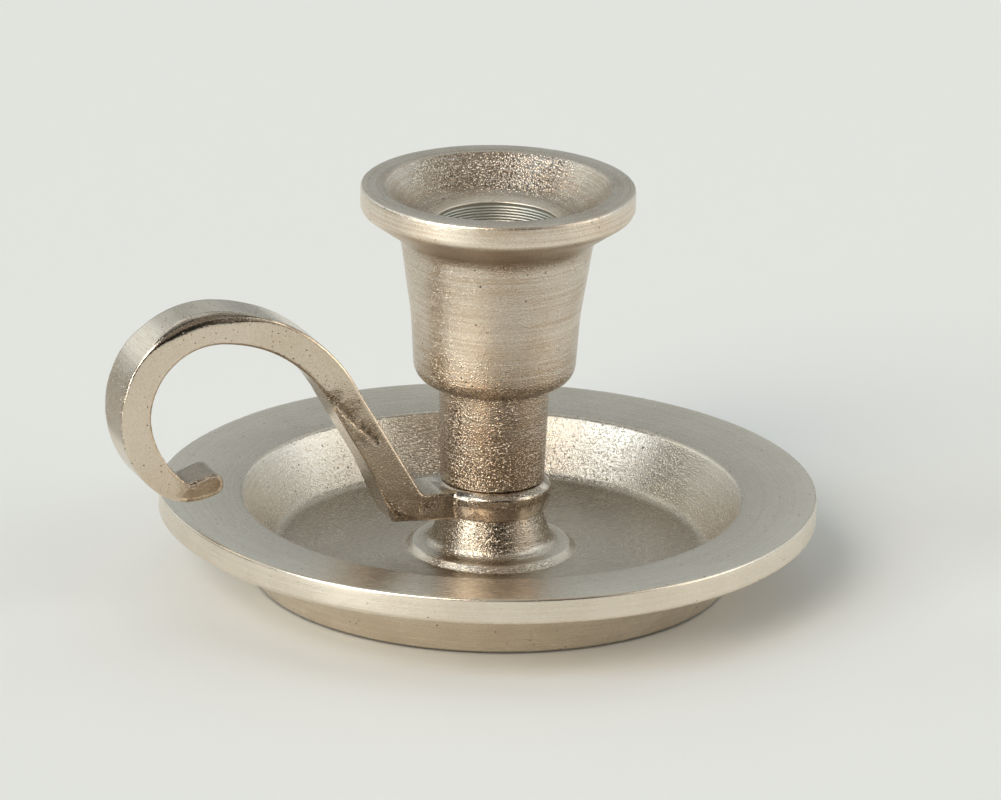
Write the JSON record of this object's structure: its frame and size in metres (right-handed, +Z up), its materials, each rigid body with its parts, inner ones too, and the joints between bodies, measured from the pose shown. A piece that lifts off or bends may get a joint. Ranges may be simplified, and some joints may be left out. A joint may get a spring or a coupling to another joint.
{
  "type": "chamberstick with finger loop",
  "caption": "Cast metal chamberstick: a flat-rimmed drip dish with a conical well, a turned taper socket on a short stem and an open finger loop.",
  "frame": {"origin": "on the table, under the middle of the whole outline of dish and handle", "axes": "+Z up along the candle, -X towards the finger loop, +Y to the left of someone who looks along +X"},
  "size_m": [0.1354, 0.121, 0.0754],
  "materials": {
    "cast_dish": "sand-cast aluminium, nickel plated, satin rim and bright pitted well",
    "cast_handle": "sand-cast aluminium, nickel plated, dressed by hand",
    "cast_socket": "turned and brushed cast aluminium, nickel plated",
    "screw_steel": "zinc plated"
  },
  "bodies": {
    "root": {"drip_dish": "cast_dish", "finger_loop": "cast_handle", "candle_socket": "cast_socket", "clamp_screw": "screw_steel", "spring_washer": "screw_steel", "plain_washer": "screw_steel"}
  },
  "joints": []
}
